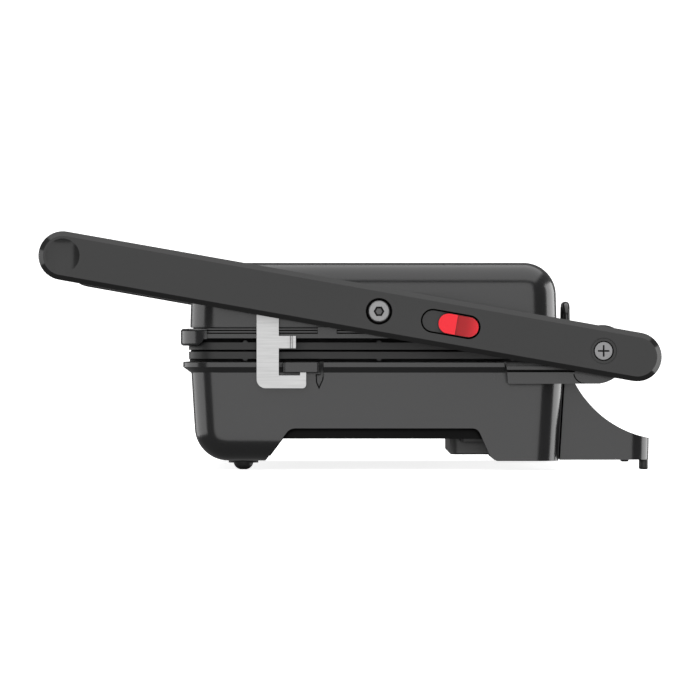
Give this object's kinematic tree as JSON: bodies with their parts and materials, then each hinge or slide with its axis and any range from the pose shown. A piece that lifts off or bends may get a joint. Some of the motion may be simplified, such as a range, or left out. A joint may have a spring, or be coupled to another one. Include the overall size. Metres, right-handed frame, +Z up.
{
  "type": "panini press",
  "caption": "Contact grill with ribbed plates in two casings, tilted side arms with a front grip, floating lid, side latch, lock slider and drip tray.",
  "frame": {"origin": "on the counter, at the middle of the footprint", "axes": "+Z up, +Y towards the hinge at the back, +X the user's right, where the latch and lock are"},
  "size_m": [0.3109, 0.3308, 0.1276],
  "materials": {
    "body_plastic": "semi-gloss black, moulded",
    "cover_plastic": "dull black underside",
    "arm_plastic": "satin charcoal",
    "grip_plastic": "satin black, soft to the touch",
    "tray_plastic": "satin black",
    "red_plastic": "red, satin",
    "latch_steel": "brushed stainless sheet",
    "sheet_steel": "plain steel sheet",
    "bright_screws": "zinc plated",
    "dark_screws": "blackened steel",
    "grill_coating": "cast plate with a dark non-stick coating",
    "element_sheath": "oxidised sheath",
    "ceramic": "off-white terminal block",
    "bearing_plastic": "plain nylon",
    "rubber": "black rubber",
    "conduit_sleeve": "black heat-proof sleeve",
    "lens": "clear red lens",
    "circuit_board": "green board"
  },
  "bodies": {
    "base": {"lower_housing": "body_plastic", "base_bottom_cover": "cover_plastic", "cover_screws": "dark_screws", "tray_rails": "cover_plastic", "front_feet": "rubber", "rear_feet": "rubber", "right_rear_stand": "body_plastic", "left_rear_stand": "body_plastic", "right_hinge_bracket": "body_plastic", "left_hinge_bracket": "body_plastic", "hinge_screws": "bright_screws", "lower_grill_plate": "grill_coating", "lower_heating_element": "element_sheath", "lower_heat_shield": "sheet_steel", "lower_shield_screws": "bright_screws", "thermostat": "sheet_steel", "thermal_fuse": "element_sheath", "terminal_block": "ceramic", "cord_gland": "rubber", "grease_chute": "sheet_steel"},
    "drip_tray_body": {"drip_tray": "tray_plastic"},
    "arms": {"right_arm": "arm_plastic", "left_arm": "arm_plastic", "right_arm_cover": "arm_plastic", "left_arm_cover": "arm_plastic", "hinge_bushes": "bearing_plastic", "float_pivot_screws": "dark_screws", "float_pivot_bushes": "bearing_plastic", "grip_sleeve": "grip_plastic", "grip_rod": "bright_screws", "grip_end_caps": "arm_plastic", "latch_rivet": "bright_screws", "latch_washer": "bearing_plastic", "wiring_conduit": "conduit_sleeve"},
    "lid": {"lid_housing": "body_plastic", "upper_trim": "body_plastic", "upper_grill_plate": "grill_coating", "upper_heating_element": "element_sheath", "upper_heat_shield": "sheet_steel", "upper_shield_screws": "bright_screws", "indicator_lenses": "lens", "indicator_board": "circuit_board", "conduit_grommet": "rubber"},
    "lock": {"lock_slider": "red_plastic"},
    "latch_body": {"latch": "latch_steel"}
  },
  "joints": [
    {"name": "arm_hinge", "type": "hinge", "parent": "base", "child": "arms", "pos_m": [0, 0.1345, 0.064], "axis": [-1, 0, 0], "range_deg": [0, 180]},
    {"name": "lid_float", "type": "hinge", "parent": "arms", "child": "lid", "pos_m": [0, 0.01539, 0.085], "axis": [-1, 0, 0], "range_deg": [-0.3, 0.3]},
    {"name": "lock_slide", "type": "slide", "parent": "arms", "child": "lock", "axis": [0, -0.9848, 0.1736], "range_m": [0, 0.0075]},
    {"name": "latch_swing", "type": "hinge", "parent": "arms", "child": "latch_body", "pos_m": [0.137, -0.04439, 0.09554], "axis": [-1, 0, 0], "range_deg": [0, 40]},
    {"name": "tray_slide", "type": "slide", "parent": "base", "child": "drip_tray_body", "axis": [0, 1, 0], "range_m": [0, 0.06]}
  ]
}
